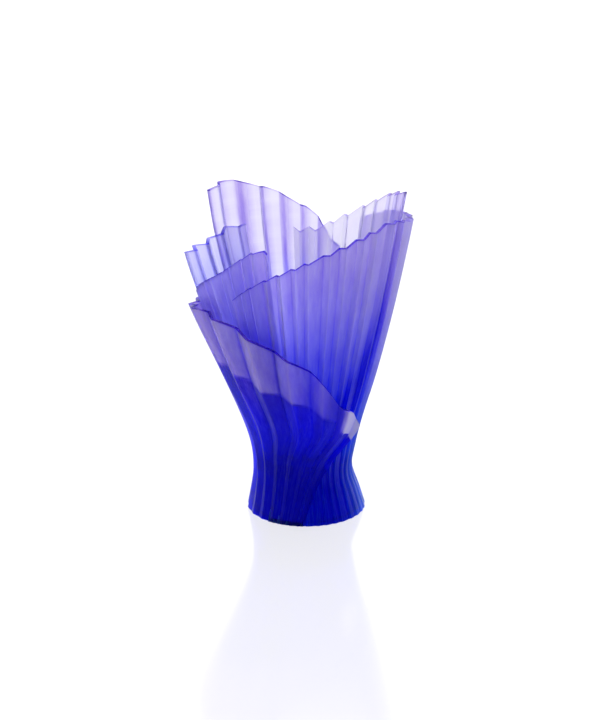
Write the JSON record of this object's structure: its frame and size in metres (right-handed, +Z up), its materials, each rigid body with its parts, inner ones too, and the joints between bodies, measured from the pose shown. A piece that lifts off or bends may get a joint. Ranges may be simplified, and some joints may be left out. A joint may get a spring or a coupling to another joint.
{
  "type": "pleated cast glass vase",
  "caption": "Tall waisted vase of pleated, overlapping glass leaves that wrap round a hollow body above a thick flared foot, with a stepped, slanting open rim.",
  "frame": {"origin": "centre of the foot on the surface that the vase stands on", "axes": "+Z up along the body, -Y towards the front where the low outer leaf wraps round, +X towards the side with the tall plain wall"},
  "size_m": [0.2185, 0.2175, 0.3158],
  "materials": {
    "cobalt_foot_glass": "satin cast crystal, deep cobalt",
    "violet_cobalt_glass": "satin cast crystal, violet at the rim turning cobalt below",
    "pale_lavender_glass": "satin cast crystal, pale lavender"
  },
  "bodies": {
    "root": {"foot_core": "cobalt_foot_glass", "front_wrap": "violet_cobalt_glass", "main_drape": "violet_cobalt_glass", "left_drape": "violet_cobalt_glass", "left_back_fan": "pale_lavender_glass", "back_fan": "pale_lavender_glass", "right_back_fan": "pale_lavender_glass"}
  },
  "joints": []
}
